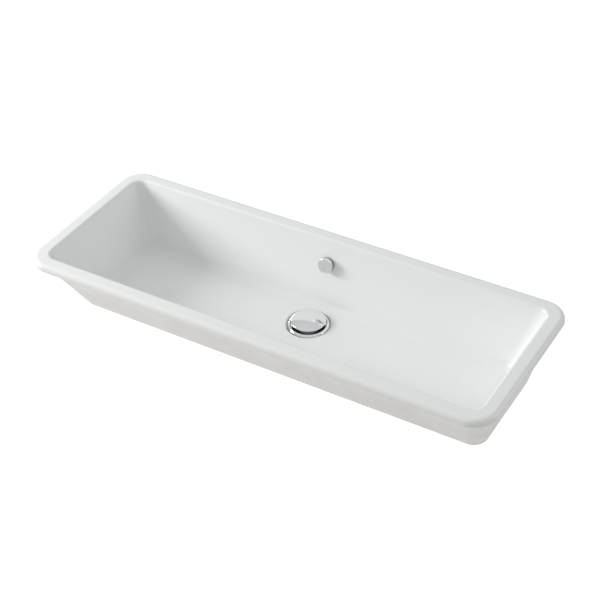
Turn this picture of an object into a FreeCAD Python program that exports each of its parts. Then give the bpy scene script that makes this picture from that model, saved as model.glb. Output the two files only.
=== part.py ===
import FreeCAD, Part
import math
import os

# Inset washbasin with a pressed pop-up waste and an overflow.
# X runs along the basin, Y towards the wall behind it, Z up.
# The origin is the centre of the cut-out in the plane that the rim's underside rests on.

# Whole basin
basin_length = 800.0
basin_width = 300.0

# Rim
rim_thickness = 12.5
rim_width = 25.5
rim_corner_radius = 40.0
rim_edge_flat = 0.5
rim_under_round = 3.0
rim_overhang = 14.0
rim_cove = 4.0

# Inside of the bowl
mouth_corner_radius = 19.0
mouth_round = 4.0
bowl_depth = 117.5
floor_fall = 6.5
end_wall_run = 37.5
back_wall_run = 24.5
front_wall_run = 54.5
floor_corner_radius = 22.0
floor_fillet = 13.0

# Outside of the bowl
shell_corner_radius = 28.0
shell_foot_corner_radius = 24.0
shell_end_run = 28.0
shell_front_run = 67.5
shell_foot_fillet = 16.0
floor_thickness = 11.5

# Overflow hole and the duct behind the bowl
overflow_drop = 41.7
overflow_hole_radius = 8.5
duct_half_width = 24.0
duct_front_wall = 7.0
duct_back_wall = 5.5
duct_side_wall = 11.0
duct_roof = 6.0
duct_top_drop = 26.5
duct_lead = 8.0
duct_height = 11.0
duct_floor_wall = 6.0
duct_ceiling = 7.5
duct_round = 3.0
housing_round = 5.0

# Seat of the waste in the floor
waste_hole_clearance = 2.045
recess_back_gap = 13.5
recess_margin = 1.5
recess_depth = 4.5
recess_round = 2.0
recess_lip_round = 1.6

# Waste body
flange_radius = 34.0
flange_thickness = 4.0
flange_edge = 1.0
flange_ring_width = 4.2
flange_crown_share = 0.75
dish_depth = 2.6
dish_slope = 0.8
mouth_chamfer = 2.4
tail_radius = 20.955
tail_wall = 2.755
tail_length = 80.0
tail_chamfer = 1.0
relief_height = 1.5
relief_depth = 0.7
slot_half_width = 7.0
bridge_hub_radius = 7.5
bridge_height = 8.0
bridge_arm_width = 3.0
bridge_arm_count = 3

# Washers and nut of the waste
gasket_thickness = 1.5
gasket_margin = 1.0
gasket_width = 6.0
ring_clearance = 0.3
under_gasket_width = 10.745
under_gasket_thickness = 8.0
under_gasket_tongue = 3.0
slip_washer_thickness = 2.0
slip_washer_width = 8.745
backnut_wall = 4.995
backnut_thickness = 10.0
nut_clearance = 0.05

# Plug
plug_side_gap = 1.3
plug_lift = 4.5
plug_rim_height = 1.7
plug_edge_round = 0.7
plug_crown = 4.0
plug_boss_radius = 5.5
plug_boss_length = 5.0
plug_thread_radius = 2.5
plug_thread_length = 7.2
thread_clearance = 0.05
thread_end_gap = 0.3
seal_inset = 2.0
seal_thickness = 1.5
retainer_side_gap = 0.8
retainer_thickness = 2.0
seat_clearance = 0.3

# Click cartridge
plunger_radius = 4.0
guide_clearance = 0.08
cartridge_gap = 1.0
cartridge_radius = 8.0
cartridge_wall = 1.6
cartridge_cap_height = 4.0
cartridge_skirt = 3.0
wiper_thickness = 1.0
wiper_height = 1.1
wiper_groove_gap = 0.1
head_clearance = 0.3
head_side_gap = 1.2
head_height = 4.0
cam_gap = 0.3
rotor_side_gap = 1.1
rotor_height = 4.0
rotor_boss_gap = 0.65
rotor_boss_length = 2.6
rotor_lug_reach = 0.7
rotor_lug_width = 1.8
rotor_lug_height = 2.6
cam_notch_count = 8
cam_notch_depth = 0.8
cam_notch_half_width = 0.9
cam_lug_count = 4
rib_count = 8
rib_width = 1.0
rib_reach = 0.7
spring_wire = 0.9
spring_side_gap = 1.45
spring_turns = 5
spring_steps_per_turn = 4
spring_space = 15.6
housing_floor = 3.0
stud_radius = 4.0
stud_collar_flats = 12.0
stud_collar_height = 4.0
stud_tail = 8.0
locknut_flats = 13.0
locknut_height = 4.0

# Overflow fitting
overflow_seal_overlap = 3.0
overflow_seal_thickness = 1.0
sleeve_clearance = 0.4
sleeve_wall = 1.4
collar_thickness = 1.2
collar_margin = 0.4
snap_lug_reach = 0.8
snap_lug_gap = 0.6
snap_lug_height = 1.4
snap_slot_width = 2.4
snap_slot_count = 4
cap_margin = 0.5
cap_stand_off = 11.2
cap_face_thickness = 2.2
cap_skirt_depth = 7.0
cap_skirt_wall = 1.5
cap_edge_round = 0.7
cap_fin_count = 8
cap_fin_width = 1.2
cap_fin_depth = 1.6
cap_fin_inset = 0.6
cap_fin_gap = 0.2
cap_stem_radius = 3.0
cap_pin_radius = 1.5
insert_hub_radius = 3.6
insert_hub_height = 5.0
insert_rib_width = 1.2
pin_clearance = 0.1

# Working values
overrun = 5.0
pick_tolerance = 0.01
full_turn = 360.0
quarter = math.pi / 2
half = 0.5

# Heights
basin_height = bowl_depth + floor_thickness
rim_top_z = rim_thickness
rim_top_round = rim_thickness - rim_under_round - rim_edge_flat
floor_z = rim_top_z - bowl_depth
floor_end_z = floor_z + floor_fall
under_z = rim_top_z - basin_height
wall_height = rim_top_z - floor_end_z
seat_z = floor_z - recess_depth
duct_ceiling_z = seat_z - duct_ceiling
duct_floor_z = duct_ceiling_z - duct_height
boss_under_z = duct_floor_z - duct_floor_wall
duct_top_z = rim_top_z - duct_top_drop
housing_top_z = duct_top_z + duct_roof
flange_under_z = seat_z + gasket_thickness
flange_top_z = flange_under_z + flange_thickness
dish_z = flange_top_z - dish_depth
tail_end_z = flange_under_z - tail_length
plug_under_z = flange_top_z + plug_lift
plug_travel = plug_lift + dish_depth - seal_thickness - seat_clearance
plug_boss_z = plug_under_z - plug_boss_length
cartridge_top_z = plug_boss_z - plug_travel - cartridge_gap
housing_top_face_z = cartridge_top_z - cartridge_cap_height
skirt_z = housing_top_face_z - cartridge_skirt
head_top_z = skirt_z - head_clearance
head_under_z = head_top_z - head_height
rotor_top_z = head_under_z - cam_gap
rotor_under_z = rotor_top_z - rotor_height
spring_foot_z = rotor_under_z - spring_space
housing_under_z = spring_foot_z - housing_floor
bridge_top_z = housing_under_z - stud_collar_height
bridge_under_z = bridge_top_z - bridge_height
locknut_under_z = bridge_under_z - locknut_height
stud_end_z = bridge_under_z - stud_tail
slip_washer_top_z = boss_under_z - under_gasket_thickness
backnut_top_z = slip_washer_top_z - slip_washer_thickness
backnut_under_z = backnut_top_z - backnut_thickness

# Sizes in plan
half_length = half * basin_length
half_width = half * basin_width
mouth_half_length = half_length - rim_width
mouth_half_width = half_width - rim_width
shell_half_length = half_length - rim_overhang
shell_half_width = half_width - rim_overhang
wall_slope = back_wall_run / wall_height
shell_height = -under_z
housing_half_width = duct_half_width + duct_side_wall
housing_back_y = shell_half_width
duct_back_y = housing_back_y - duct_back_wall
tail_bore_radius = tail_radius - tail_wall
recess_radius = flange_radius + recess_margin
waste_offset = mouth_half_width - back_wall_run - recess_back_gap - recess_radius
waste_hole_radius = tail_radius + waste_hole_clearance
washer_bore_radius = tail_radius + ring_clearance
under_gasket_radius = washer_bore_radius + under_gasket_width
slip_washer_radius = washer_bore_radius + slip_washer_width
backnut_flats = 2 * (tail_radius + nut_clearance + backnut_wall)
plug_radius = flange_radius - flange_ring_width - plug_side_gap
seal_radius = plug_radius - seal_inset
retainer_radius = tail_bore_radius - retainer_side_gap
cartridge_bore_radius = cartridge_radius - cartridge_wall
head_radius = cartridge_bore_radius - head_side_gap
rotor_radius = cartridge_bore_radius - rotor_side_gap
spring_mean_radius = cartridge_bore_radius - spring_side_gap - half * spring_wire
rotor_boss_radius = spring_mean_radius - half * spring_wire - rotor_boss_gap
overflow_seal_radius = overflow_hole_radius + overflow_seal_overlap
cap_radius = overflow_seal_radius + cap_margin


def vec(x, y, z):
    return FreeCAD.Vector(x, y, z)


def between(start, end, share):
    return start + (end - start) * share


# Bowl walls at a height
def wall_share(z):
    return (rim_top_z - z) / wall_height


def bowl_half_length(z):
    return mouth_half_length - end_wall_run * wall_share(z)


def bowl_front(z):
    return front_wall_run * wall_share(z) - mouth_half_width


def bowl_back(z):
    return mouth_half_width - back_wall_run * wall_share(z)


def bowl_corner(z):
    return between(mouth_corner_radius, floor_corner_radius, wall_share(z))


def shell_share(z):
    return -z / shell_height


def shell_half_length_at(z):
    return shell_half_length - shell_end_run * shell_share(z)


def shell_front(z):
    return shell_front_run * shell_share(z) - shell_half_width


def shell_back(z):
    return shell_half_width + wall_slope * z


def shell_corner(z):
    return between(shell_corner_radius, shell_foot_corner_radius, shell_share(z))


# Outlines and simple solids
def round_rectangle(x_half, y_front, y_back, radius, z):
    """Closed wire of a rectangle with round corners."""
    corners = [
        (x_half - radius, y_front + radius, -1, 0),
        (x_half - radius, y_back - radius, 0, 1),
        (radius - x_half, y_back - radius, 1, 2),
        (radius - x_half, y_front + radius, 2, 3),
    ]
    arcs = []
    for x, y, first, last in corners:
        points = [
            vec(x + radius * math.cos(angle), y + radius * math.sin(angle), z)
            for angle in (first * quarter, half * (first + last) * quarter, last * quarter)
        ]
        arcs.append(points)
    edges = []
    for index, (start, middle, end) in enumerate(arcs):
        edges.append(Part.Arc(start, middle, end).toShape())
        next_start = arcs[(index + 1) % len(arcs)][0]
        edges.append(Part.LineSegment(end, next_start).toShape())
    return Part.Wire(edges)


def bowl_outline(z):
    return round_rectangle(bowl_half_length(z), bowl_front(z), bowl_back(z), bowl_corner(z), z)


def shell_outline(z):
    return round_rectangle(shell_half_length_at(z), shell_front(z), shell_back(z), shell_corner(z), z)


def rim_outline(z):
    return round_rectangle(half_length, -half_width, half_width, rim_corner_radius, z)


def lies_on(edge, wire):
    places = (edge.FirstParameter, half * (edge.FirstParameter + edge.LastParameter), edge.LastParameter)
    return all(
        wire.distToShape(Part.Vertex(edge.valueAt(place)))[0] < pick_tolerance
        for place in places
    )


def edges_on(shape, wire):
    return [edge for edge in shape.Edges if lies_on(edge, wire)]


def centre_of(edge):
    return edge.valueAt(half * (edge.FirstParameter + edge.LastParameter))


def outline_face(rows):
    """Face in the XZ plane. A row of two numbers is a corner, a row of four is an arc's middle and end."""
    points = [vec(row[-2], 0, row[-1]) for row in rows]
    edges = []
    for index, row in enumerate(rows):
        start = points[index - 1]
        if len(row) == 4:
            edges.append(Part.Arc(start, vec(row[0], 0, row[1]), points[index]).toShape())
        else:
            edges.append(Part.LineSegment(start, points[index]).toShape())
    return Part.Face(Part.Wire(edges))


def turned(rows):
    """Solid of revolution about the Z axis from rows of radius and height."""
    return outline_face(rows).revolve(vec(0, 0, 0), vec(0, 0, 1), full_turn)


def ring(inner, outer, low, high):
    return turned([(inner, low), (outer, low), (outer, high), (inner, high)])


def rod(radius, low, high):
    return Part.makeCylinder(radius, high - low, vec(0, 0, low))


def hexagon(flats, low, high):
    corner_radius = half * flats / math.cos(math.pi / 6)
    corners = [
        vec(corner_radius * math.cos(k * math.pi / 3), corner_radius * math.sin(k * math.pi / 3), low)
        for k in range(6)
    ]
    face = Part.Face(Part.makePolygon(corners + corners[:1]))
    return face.extrude(vec(0, 0, high - low))


def block(x0, x1, y0, y1, z0, z1):
    return Part.makeBox(x1 - x0, y1 - y0, z1 - z0, vec(x0, y0, z0))


def side_prism(points, x_half):
    """Prism along X from corners given as (y, z)."""
    corners = [vec(-x_half, y, z) for y, z in points]
    face = Part.Face(Part.makePolygon(corners + corners[:1]))
    return face.extrude(vec(2 * x_half, 0, 0))


def around_axis(shape, count, start_angle=0.0):
    """Copies of a shape, spread evenly about the Z axis."""
    copies = []
    for k in range(count):
        turned_copy = shape.copy()
        turned_copy.rotate(vec(0, 0, 0), vec(0, 0, 1), start_angle + k * full_turn / count)
        copies.append(turned_copy)
    return copies


def at_waste(shape):
    shape.translate(vec(0, waste_offset, 0))
    return shape


def at_overflow(shape):
    """Move a shape from the Z axis to the overflow hole, with Z out of the back wall."""
    centre_z = rim_top_z - overflow_drop
    lean = math.degrees(math.atan(wall_slope))
    shape.rotate(vec(0, 0, 0), vec(1, 0, 0), full_turn / 4 - lean)
    shape.translate(vec(0, bowl_back(centre_z), centre_z))
    return shape


# Basin
def rim_slab():
    slab = Part.Face(rim_outline(0)).extrude(vec(0, 0, rim_thickness))
    slab = slab.makeFillet(rim_top_round, edges_on(slab, rim_outline(rim_top_z)))
    return slab.makeFillet(rim_under_round, edges_on(slab, rim_outline(0)))


def outer_shell():
    top_z = half * rim_thickness
    shell = Part.makeLoft([shell_outline(top_z), shell_outline(under_z)], True, True)
    return shell.makeFillet(shell_foot_fillet, edges_on(shell, shell_outline(under_z)))


def duct_housing():
    """Thick part behind and under the bowl that holds the overflow duct and seats the waste."""
    inside_z = half * (under_z + floor_z)
    housing = side_prism(
        [
            (half * (bowl_back(housing_top_z) + shell_back(housing_top_z)), housing_top_z),
            (shell_back(housing_top_z), housing_top_z),
            (housing_back_y, housing_top_z - duct_lead),
            (housing_back_y, boss_under_z),
            (waste_offset, boss_under_z),
            (waste_offset, inside_z),
        ],
        housing_half_width,
    )
    boss = at_waste(rod(housing_half_width, boss_under_z, inside_z))
    whole = housing.fuse(boss).removeSplitter()
    upright = [
        edge for edge in whole.Edges
        if abs(centre_of(edge).y - housing_back_y) < pick_tolerance
        and abs(abs(centre_of(edge).x) - housing_half_width) < pick_tolerance
    ]
    foot = [
        edge for edge in whole.Edges
        if abs(centre_of(edge).z - boss_under_z) < pick_tolerance
        and abs(edge.Vertexes[0].Z - boss_under_z) < pick_tolerance
    ]
    return whole.makeFillet(housing_round, upright + foot)


def bowl_space():
    """Hollow of the bowl, with a floor that falls along a wide arc to the waste."""
    above_z = rim_top_z + overrun
    below_z = floor_z - overrun
    space = Part.makeLoft([bowl_outline(above_z), bowl_outline(below_z)], True, True)
    run = bowl_half_length(floor_end_z)
    floor_radius = (run ** 2 + floor_fall ** 2) / (2 * floor_fall)
    drum = Part.makeCylinder(
        floor_radius,
        basin_width,
        vec(0, -half_width, floor_z + floor_radius),
        vec(0, 1, 0),
    )
    space = space.common(drum)
    floor = [face for face in space.Faces if face.Surface.TypeId == "Part::GeomCylinder"]
    return space.makeFillet(floor_fillet, floor[0].OuterWire.Edges)


def duct_space():
    """Hollow that leads overflow water down behind the bowl to the waste hole."""
    space = side_prism(
        [
            (bowl_back(duct_top_z) + duct_front_wall, duct_top_z),
            (duct_back_y, duct_top_z),
            (duct_back_y, duct_floor_z),
            (waste_offset, duct_floor_z),
            (waste_offset, duct_ceiling_z),
            (bowl_back(duct_ceiling_z) + duct_front_wall, duct_ceiling_z),
        ],
        duct_half_width,
    )
    back_foot = [
        edge for edge in space.Edges
        if abs(centre_of(edge).y - duct_back_y) < pick_tolerance
        and abs(centre_of(edge).z - duct_floor_z) < pick_tolerance
    ]
    return space.makeFillet(duct_round, back_foot)


def waste_seat_space():
    """Round recess for the flange, and the hole below it."""
    recess = rod(recess_radius, seat_z, floor_z + overrun)
    foot = [edge for edge in recess.Edges if abs(centre_of(edge).z - seat_z) < pick_tolerance]
    recess = recess.makeFillet(recess_round, foot)
    hole = rod(waste_hole_radius, boss_under_z - overrun, seat_z + overrun)
    return at_waste(recess.fuse(hole))


def recess_lip(body):
    """Edges where the recess breaks into the floor."""

    def on_lip(point):
        reach = vec(point.x, point.y - waste_offset, 0).Length
        above_round = point.z > seat_z + recess_round + pick_tolerance
        return abs(reach - recess_radius) < pick_tolerance and above_round

    return [
        edge for edge in body.Edges
        if on_lip(edge.valueAt(edge.FirstParameter))
        and on_lip(centre_of(edge))
        and on_lip(edge.valueAt(edge.LastParameter))
    ]


def overflow_hole_space():
    depth = duct_front_wall + collar_thickness
    return at_overflow(rod(overflow_hole_radius, -depth, overrun))


def basin_body():
    body = rim_slab().fuse(outer_shell()).removeSplitter()
    body = body.makeFillet(rim_cove, edges_on(body, shell_outline(0)))
    body = body.fuse(duct_housing())
    body = body.cut(bowl_space())
    body = body.makeFillet(mouth_round, edges_on(body, bowl_outline(rim_top_z)))
    body = body.cut(waste_seat_space())
    body = body.makeFillet(recess_lip_round, recess_lip(body))
    body = body.cut(duct_space())
    body = body.cut(overflow_hole_space())
    return body.removeSplitter()


# Waste
def waste_body():
    ring_inner = flange_radius - flange_ring_width
    crown_radius = half * (ring_inner + flange_radius)
    edge_z = flange_under_z + flange_edge
    crown_z = between(edge_z, flange_top_z, flange_crown_share)
    body = turned([
        (tail_bore_radius, tail_end_z),
        (tail_radius - tail_chamfer, tail_end_z),
        (tail_radius, tail_end_z + tail_chamfer),
        (tail_radius, backnut_under_z - 2 * relief_height),
        (tail_radius - relief_depth, backnut_under_z - 2 * relief_height),
        (tail_radius - relief_depth, backnut_under_z - relief_height),
        (tail_radius, backnut_under_z - relief_height),
        (tail_radius, flange_under_z),
        (flange_radius, flange_under_z),
        (flange_radius, edge_z),
        (crown_radius, crown_z, ring_inner, flange_top_z),
        (ring_inner - dish_slope, dish_z),
        (tail_bore_radius + mouth_chamfer, dish_z),
        (tail_bore_radius, dish_z - mouth_chamfer),
    ])
    reach = flange_radius
    slot = block(-slot_half_width, slot_half_width, -reach, reach, duct_floor_z, duct_ceiling_z)
    for cutter in around_axis(slot, 2):
        body = body.cut(cutter)
    half_arm = half * bridge_arm_width
    arm = block(0, half * (tail_radius + tail_bore_radius), -half_arm, half_arm, bridge_under_z, bridge_top_z)
    for copy in around_axis(arm, bridge_arm_count, full_turn / 4):
        body = body.fuse(copy)
    body = body.fuse(rod(bridge_hub_radius, bridge_under_z, bridge_top_z))
    bore = rod(stud_radius + thread_clearance, bridge_under_z - overrun, bridge_top_z + overrun)
    return at_waste(body.cut(bore).removeSplitter())


def flange_gasket():
    outer = flange_radius - gasket_margin
    return at_waste(ring(outer - gasket_width, outer, seat_z, flange_under_z))


def under_gasket():
    tongue_radius = waste_hole_radius - ring_clearance
    return at_waste(turned([
        (washer_bore_radius, slip_washer_top_z),
        (under_gasket_radius - under_gasket_tongue, slip_washer_top_z),
        (under_gasket_radius, slip_washer_top_z + under_gasket_tongue),
        (under_gasket_radius, boss_under_z),
        (tongue_radius, boss_under_z),
        (tongue_radius - gasket_margin, boss_under_z + under_gasket_tongue),
        (washer_bore_radius, boss_under_z + under_gasket_tongue),
    ]))


def slip_washer():
    return at_waste(ring(washer_bore_radius, slip_washer_radius, backnut_top_z, slip_washer_top_z))


def backnut():
    nut = hexagon(backnut_flats, backnut_under_z, backnut_top_z)
    bore = rod(tail_radius + nut_clearance, backnut_under_z - overrun, backnut_top_z + overrun)
    return at_waste(nut.cut(bore))


# Plug
def plug_cap():
    rim_top = plug_under_z + plug_rim_height
    crown_top = rim_top + plug_crown
    dome_edge = plug_radius - plug_edge_round
    dome_radius = (dome_edge ** 2 + plug_crown ** 2) / (2 * plug_crown)
    middle_drop = dome_radius - math.sqrt(dome_radius ** 2 - (half * dome_edge) ** 2)
    round_centre_z = rim_top - plug_edge_round
    diagonal = plug_edge_round * math.sqrt(half)
    cap = turned([
        (0, plug_boss_z),
        (plug_boss_radius, plug_boss_z),
        (plug_boss_radius, plug_under_z),
        (plug_radius, plug_under_z),
        (plug_radius, round_centre_z),
        (dome_edge + diagonal, round_centre_z + diagonal, dome_edge, rim_top),
        (half * dome_edge, crown_top - middle_drop, 0, crown_top),
    ])
    bore_top = plug_boss_z + plug_thread_length
    return at_waste(cap.cut(rod(plug_thread_radius + thread_clearance, plug_boss_z - overrun, bore_top)))


def plug_seal():
    inner = plug_boss_radius + ring_clearance
    return at_waste(ring(inner, seal_radius, plug_under_z - seal_thickness, plug_under_z))


def seal_retainer():
    top = plug_under_z - seal_thickness
    inner = plug_boss_radius + nut_clearance
    return at_waste(ring(inner, retainer_radius, top - retainer_thickness, top))


# Click cartridge
def cam_notches(radius, z):
    """V-shaped radial notches about the axis, to cut the face at height z."""
    points = [(-cam_notch_half_width, z), (cam_notch_half_width, z), (0, z - cam_notch_depth)]
    wedge = side_prism(points, half * radius)
    wedge.translate(vec(half * radius, 0, 0))
    return around_axis(wedge, cam_notch_count)


def plunger():
    stud_top = plug_boss_z + plug_thread_length - thread_end_gap
    body = rod(plunger_radius, head_under_z, plug_boss_z)
    body = body.fuse(rod(plug_thread_radius, plug_boss_z, stud_top))
    body = body.fuse(rod(head_radius, head_under_z, head_top_z))
    for notch in cam_notches(head_radius + overrun, head_under_z):
        notch.rotate(vec(0, 0, head_under_z), vec(1, 0, 0), half * full_turn)
        body = body.cut(notch)
    return at_waste(body.removeSplitter())


def cam_rotor():
    body = rod(rotor_radius, rotor_under_z, rotor_top_z)
    body = body.fuse(rod(rotor_boss_radius, rotor_under_z - rotor_boss_length, rotor_under_z))
    half_lug = half * rotor_lug_width
    reach = rotor_radius + rotor_lug_reach
    lug = block(0, reach, -half_lug, half_lug, rotor_under_z, rotor_under_z + rotor_lug_height)
    for copy in around_axis(lug, cam_lug_count):
        body = body.fuse(copy)
    for notch in cam_notches(rotor_radius + overrun, rotor_top_z):
        body = body.cut(notch)
    return at_waste(body.removeSplitter())


def return_spring():
    """Steel coil between the rotor and the floor of the housing, as one tube on short arcs."""
    wire_radius = half * spring_wire
    low = spring_foot_z + wire_radius + nut_clearance
    high = rotor_under_z - wire_radius - nut_clearance
    pitch = (high - low) / spring_turns
    steps = spring_turns * spring_steps_per_turn

    def point(step):
        angle = 2 * math.pi * step / spring_steps_per_turn
        z = low + pitch * step / spring_steps_per_turn
        return vec(spring_mean_radius * math.cos(angle), spring_mean_radius * math.sin(angle), z)

    arcs = [Part.Arc(point(k), point(k + half), point(k + 1)).toShape() for k in range(steps)]
    heading = vec(0, 2 * math.pi * spring_mean_radius, pitch)
    section = Part.Wire([Part.makeCircle(wire_radius, point(0), heading)])
    print("return_spring gap between turns", round(pitch - spring_wire, 2))
    return at_waste(Part.Wire(arcs).makePipeShell([section], True, False))


def cartridge_housing():
    body = ring(cartridge_bore_radius, cartridge_radius, housing_under_z, housing_top_face_z)
    body = body.fuse(rod(cartridge_radius, housing_under_z, spring_foot_z))
    half_rib = half * rib_width
    rib_top = skirt_z - head_clearance
    rib_end = rotor_top_z
    outer = half * (cartridge_radius + cartridge_bore_radius)
    rib = block(cartridge_bore_radius - rib_reach, outer, -half_rib, half_rib, rib_end, rib_top)
    for copy in around_axis(rib, rib_count, half * full_turn / rib_count):
        body = body.fuse(copy)
    bore = rod(stud_radius + thread_clearance, housing_under_z - overrun, spring_foot_z + spring_wire)
    return at_waste(body.cut(bore).removeSplitter())


def cartridge_cap():
    guide_radius = plunger_radius + guide_clearance
    groove_radius = guide_radius + wiper_thickness + wiper_groove_gap
    groove_top = cartridge_top_z - wiper_thickness
    groove_foot = groove_top - wiper_height - 2 * wiper_groove_gap
    skirt_radius = cartridge_bore_radius - thread_clearance
    return at_waste(turned([
        (guide_radius, skirt_z),
        (skirt_radius, skirt_z),
        (skirt_radius, housing_top_face_z),
        (cartridge_radius, housing_top_face_z),
        (cartridge_radius, cartridge_top_z),
        (guide_radius, cartridge_top_z),
        (guide_radius, groove_top),
        (groove_radius, groove_top),
        (groove_radius, groove_foot),
        (guide_radius, groove_foot),
    ]))


def wiper_ring():
    inner = plunger_radius + guide_clearance
    high = cartridge_top_z - wiper_thickness - wiper_groove_gap
    return at_waste(ring(inner, inner + wiper_thickness, high - wiper_height, high))


def cartridge_stud():
    body = rod(stud_radius, stud_end_z, spring_foot_z - thread_end_gap)
    body = body.fuse(hexagon(stud_collar_flats, bridge_top_z, housing_under_z))
    return at_waste(body)


def height_locknut():
    nut = hexagon(locknut_flats, locknut_under_z, bridge_under_z)
    bore = rod(stud_radius + thread_clearance, locknut_under_z - overrun, bridge_under_z + overrun)
    return at_waste(nut.cut(bore))


# Overflow fitting, each piece built on the Z axis and then laid on the back wall
def overflow_seal():
    inner = overflow_hole_radius - sleeve_clearance + ring_clearance
    return at_overflow(ring(inner, overflow_seal_radius, 0, overflow_seal_thickness))


def overflow_insert():
    sleeve_radius = overflow_hole_radius - sleeve_clearance
    sleeve_bore = sleeve_radius - sleeve_wall
    lug_top = -duct_front_wall - snap_lug_gap
    lug_foot = lug_top - snap_lug_height
    collar_top = overflow_seal_thickness + collar_thickness
    body = turned([
        (sleeve_bore, lug_foot),
        (sleeve_radius, lug_foot),
        (sleeve_radius + snap_lug_reach, lug_top),
        (sleeve_radius, lug_top),
        (sleeve_radius, overflow_seal_thickness),
        (overflow_seal_radius + collar_margin, overflow_seal_thickness),
        (overflow_seal_radius + collar_margin, collar_top),
        (sleeve_bore, collar_top),
    ])
    half_slot = half * snap_slot_width
    slot = block(0, cap_radius, -half_slot, half_slot, lug_foot - overrun, -half * duct_front_wall)
    for copy in around_axis(slot, snap_slot_count, half * full_turn / snap_slot_count):
        body = body.cut(copy)
    half_rib = half * insert_rib_width
    rib = block(0, half * (sleeve_bore + sleeve_radius), -half_rib, half_rib,
                collar_top - insert_hub_height, collar_top)
    for copy in around_axis(rib, snap_slot_count):
        body = body.fuse(copy)
    body = body.fuse(rod(insert_hub_radius, collar_top - insert_hub_height, collar_top))
    bore = rod(cap_pin_radius + pin_clearance, -cap_stand_off, cap_stand_off)
    return at_overflow(body.cut(bore).removeSplitter())


def overflow_cap():
    collar_top = overflow_seal_thickness + collar_thickness
    face_z = cap_stand_off - cap_face_thickness
    cap_skirt_z = cap_stand_off - cap_skirt_depth
    skirt_bore = cap_radius - cap_skirt_wall
    round_z = cap_stand_off - cap_edge_round
    round_radius = cap_radius - cap_edge_round
    diagonal = cap_edge_round * math.sqrt(half)
    body = turned([
        (0, face_z),
        (skirt_bore, face_z),
        (skirt_bore, cap_skirt_z),
        (cap_radius, cap_skirt_z),
        (cap_radius, round_z),
        (round_radius + diagonal, round_z + diagonal, round_radius, cap_stand_off),
        (0, cap_stand_off),
    ])
    half_fin = half * cap_fin_width
    fin_outer = cap_radius - cap_fin_inset
    fin = block(fin_outer - cap_fin_depth, fin_outer, -half_fin, half_fin, collar_top + cap_fin_gap, face_z)
    for copy in around_axis(fin, cap_fin_count):
        body = body.fuse(copy)
    body = body.fuse(rod(cap_stem_radius, collar_top, face_z))
    pin_end = collar_top - insert_hub_height
    body = body.fuse(rod(cap_pin_radius, pin_end, collar_top))
    return at_overflow(body.removeSplitter())


pieces = {
    "basin_body": basin_body,
    "overflow_cap": overflow_cap,
    "overflow_insert": overflow_insert,
    "overflow_seal": overflow_seal,
    "waste_body": waste_body,
    "flange_gasket": flange_gasket,
    "under_gasket": under_gasket,
    "slip_washer": slip_washer,
    "backnut": backnut,
    "plug_cap": plug_cap,
    "plug_seal": plug_seal,
    "seal_retainer": seal_retainer,
    "plunger": plunger,
    "cam_rotor": cam_rotor,
    "return_spring": return_spring,
    "cartridge_housing": cartridge_housing,
    "cartridge_cap": cartridge_cap,
    "wiper_ring": wiper_ring,
    "cartridge_stud": cartridge_stud,
    "height_locknut": height_locknut,
}

os.makedirs("parts", exist_ok=True)
for node, make in pieces.items():
    shape = make()
    print(node, shape.ShapeType, shape.isValid(), len(shape.Solids), round(shape.Volume))
    shape.exportStep("parts/" + node + ".step")
print("plug travel", round(plug_travel, 3), "tail end", tail_end_z, "spring foot", spring_foot_z)
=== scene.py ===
import math

import bmesh
import bpy
from mathutils import Matrix, Vector


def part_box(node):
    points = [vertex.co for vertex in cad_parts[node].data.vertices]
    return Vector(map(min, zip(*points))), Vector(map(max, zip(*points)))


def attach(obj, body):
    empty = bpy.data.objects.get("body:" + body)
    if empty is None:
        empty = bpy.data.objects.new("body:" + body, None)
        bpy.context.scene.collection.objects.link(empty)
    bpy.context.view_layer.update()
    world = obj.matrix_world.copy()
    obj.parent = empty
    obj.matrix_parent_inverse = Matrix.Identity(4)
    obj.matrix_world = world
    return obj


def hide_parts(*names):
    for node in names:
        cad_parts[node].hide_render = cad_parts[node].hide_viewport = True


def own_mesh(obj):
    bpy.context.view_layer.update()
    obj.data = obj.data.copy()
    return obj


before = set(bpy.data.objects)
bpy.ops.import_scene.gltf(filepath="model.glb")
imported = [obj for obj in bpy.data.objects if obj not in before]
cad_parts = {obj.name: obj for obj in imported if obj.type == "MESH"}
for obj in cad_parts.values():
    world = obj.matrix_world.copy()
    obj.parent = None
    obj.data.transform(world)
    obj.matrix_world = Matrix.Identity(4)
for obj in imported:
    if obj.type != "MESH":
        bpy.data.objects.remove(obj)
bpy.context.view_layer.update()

bl_info = {
    "name": "Inset washbasin",
    "version": (1, 0, 0),
    "blender": (4, 5, 0),
    "location": "3D View > Sidebar > Washbasin",
    "description": "Models the china, the pop-up waste and the overflow of an inset washbasin",
    "category": "Add Mesh",
}

mm = 0.001
tiny = 0.01 * mm
basin_low, basin_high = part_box("basin_body")
waste_low, waste_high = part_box("waste_body")
plug_low, plug_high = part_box("plug_cap")
backnut_low, backnut_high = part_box("backnut")
locknut_low, locknut_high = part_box("height_locknut")
spring_low, spring_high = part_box("return_spring")
waste_y = (waste_low.y + waste_high.y) / 2
waste_axis = (0.0, waste_y)
bridge_low, bridge_high = -157.0 * mm, -149.0 * mm


# Properties
def metres(label, text, value):
    return bpy.props.FloatProperty(
        name=label, description=text, default=value, min=0.0,
        subtype="DISTANCE", unit="LENGTH", precision=5,
    )


def size(label, text, millimetres):
    return metres(label, text, millimetres * mm)


def colour(label, text, value):
    return bpy.props.FloatVectorProperty(
        name=label, description=text, default=value, min=0.0, max=1.0, subtype="COLOR", size=3,
    )


def share(label, text, value, highest=1.0):
    return bpy.props.FloatProperty(
        name=label, description=text, default=value, min=0.0, max=highest, subtype="FACTOR",
    )


def power(label, text, value):
    return bpy.props.FloatProperty(name=label, description=text, default=value, min=0.0, unit="POWER")


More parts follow.
